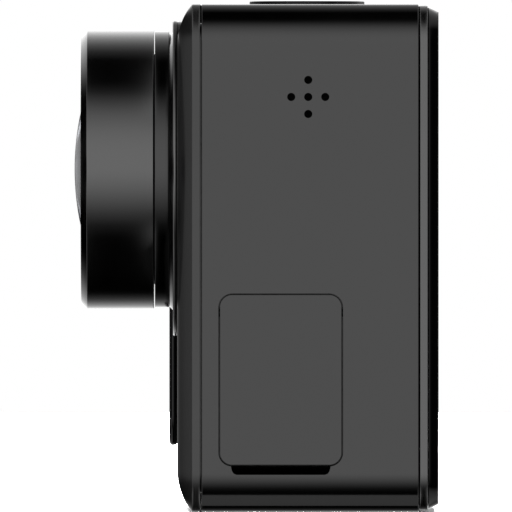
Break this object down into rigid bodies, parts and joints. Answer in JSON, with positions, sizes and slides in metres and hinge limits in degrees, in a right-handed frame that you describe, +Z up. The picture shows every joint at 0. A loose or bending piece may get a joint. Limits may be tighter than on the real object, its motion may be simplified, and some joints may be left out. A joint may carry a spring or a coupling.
{
  "type": "action camera",
  "caption": "Box-shaped action camera with a round front lens, a touchscreen back, a top shutter button, a side port door and a bottom battery door.",
  "frame": {"origin": "centre of the bounding box's bottom face, on the plane that the camera stands on", "axes": "+Z up; the lens points along -Y and the touchscreen faces +Y; the port door is on the +X side"},
  "size_m": [0.065, 0.03, 0.042],
  "materials": {
    "anodised_frame": "dark anodised, fine satin blast",
    "cover_plastic": "satin moulded",
    "gloss_black": "gloss, black-backed",
    "black_plastic": "fine moulded texture",
    "bezel_metal": "satin",
    "optical_glass": "polished and coated",
    "steel": "stamped and turned",
    "heat_aluminium": "milled",
    "brass": "turned and threaded",
    "gold": "gold-plated",
    "rubber": "moulded silicone",
    "board": "solder-masked glass laminate",
    "chip": "moulded epoxy",
    "polyimide": "flexible film",
    "battery_wrap": "satin film wrap",
    "diffuser": "translucent"
  },
  "bodies": {
    "camera_body": {"mid_frame": "anodised_frame", "front_cover": "cover_plastic", "front_panel": "gloss_black", "status_light": "diffuser", "microphone": "steel", "lens_base_ring": "cover_plastic", "lens_collar": "anodised_frame", "lens_barrel": "anodised_frame", "lens_front_trim": "black_plastic", "front_lens": "optical_glass", "lens_retainer": "black_plastic", "lens_housing": "black_plastic", "lens_element_second": "optical_glass", "lens_element_third": "optical_glass", "lens_spacer": "black_plastic", "lens_element_rear": "optical_glass", "lens_holder": "black_plastic", "ir_filter": "optical_glass", "image_sensor": "chip", "sensor_board": "board", "sensor_flex": "polyimide", "heat_spreader": "heat_aluminium", "main_board": "board", "processor": "chip", "board_shield": "steel", "wifi_antenna": "polyimide", "display_panel": "chip", "display_flex": "polyimide", "display_bracket": "steel", "rear_bezel": "bezel_metal", "screen_glass": "gloss_black", "bracket_screw_1": "steel", "bracket_screw_2": "steel", "bracket_screw_3": "steel", "bracket_screw_4": "steel", "board_screw_1": "steel", "board_screw_2": "steel", "shutter_seal": "rubber", "shutter_switch": "steel", "switch_board": "board", "port_door_pin": "steel", "port_connector": "steel", "port_board": "board", "speaker": "black_plastic", "speaker_mesh": "steel", "battery": "battery_wrap", "battery_tray": "black_plastic", "battery_contacts": "gold", "card_socket": "steel", "memory_card": "black_plastic", "battery_door_pin": "steel", "tripod_insert": "brass"},
    "shutter": {"shutter_button": "anodised_frame"},
    "port_door": {"port_door": "anodised_frame", "port_door_gasket": "rubber"},
    "battery_door": {"battery_door": "anodised_frame", "battery_door_seal": "rubber"},
    "latch": {"battery_latch": "black_plastic"}
  },
  "joints": [
    {"name": "shutter_press", "type": "slide", "parent": "camera_body", "child": "shutter", "axis": [0, 0, -1], "range_m": [0, 0.00035], "stiffness_N_per_m": 6000, "springref_m": -0.0002},
    {"name": "port_door_hinge", "type": "hinge", "parent": "camera_body", "child": "port_door", "pos_m": [0.032, 0.00202, 0.01635], "axis": [0, -1, 0], "range_deg": [0, 100]},
    {"name": "battery_door_hinge", "type": "hinge", "parent": "camera_body", "child": "battery_door", "pos_m": [-0.005, 0.0042, 0.00065], "axis": [0, -1, 0], "range_deg": [0, 95]},
    {"name": "latch_slide", "type": "slide", "parent": "battery_door", "child": "latch", "axis": [-1, 0, 0], "range_m": [0, 0.0014]}
  ]
}
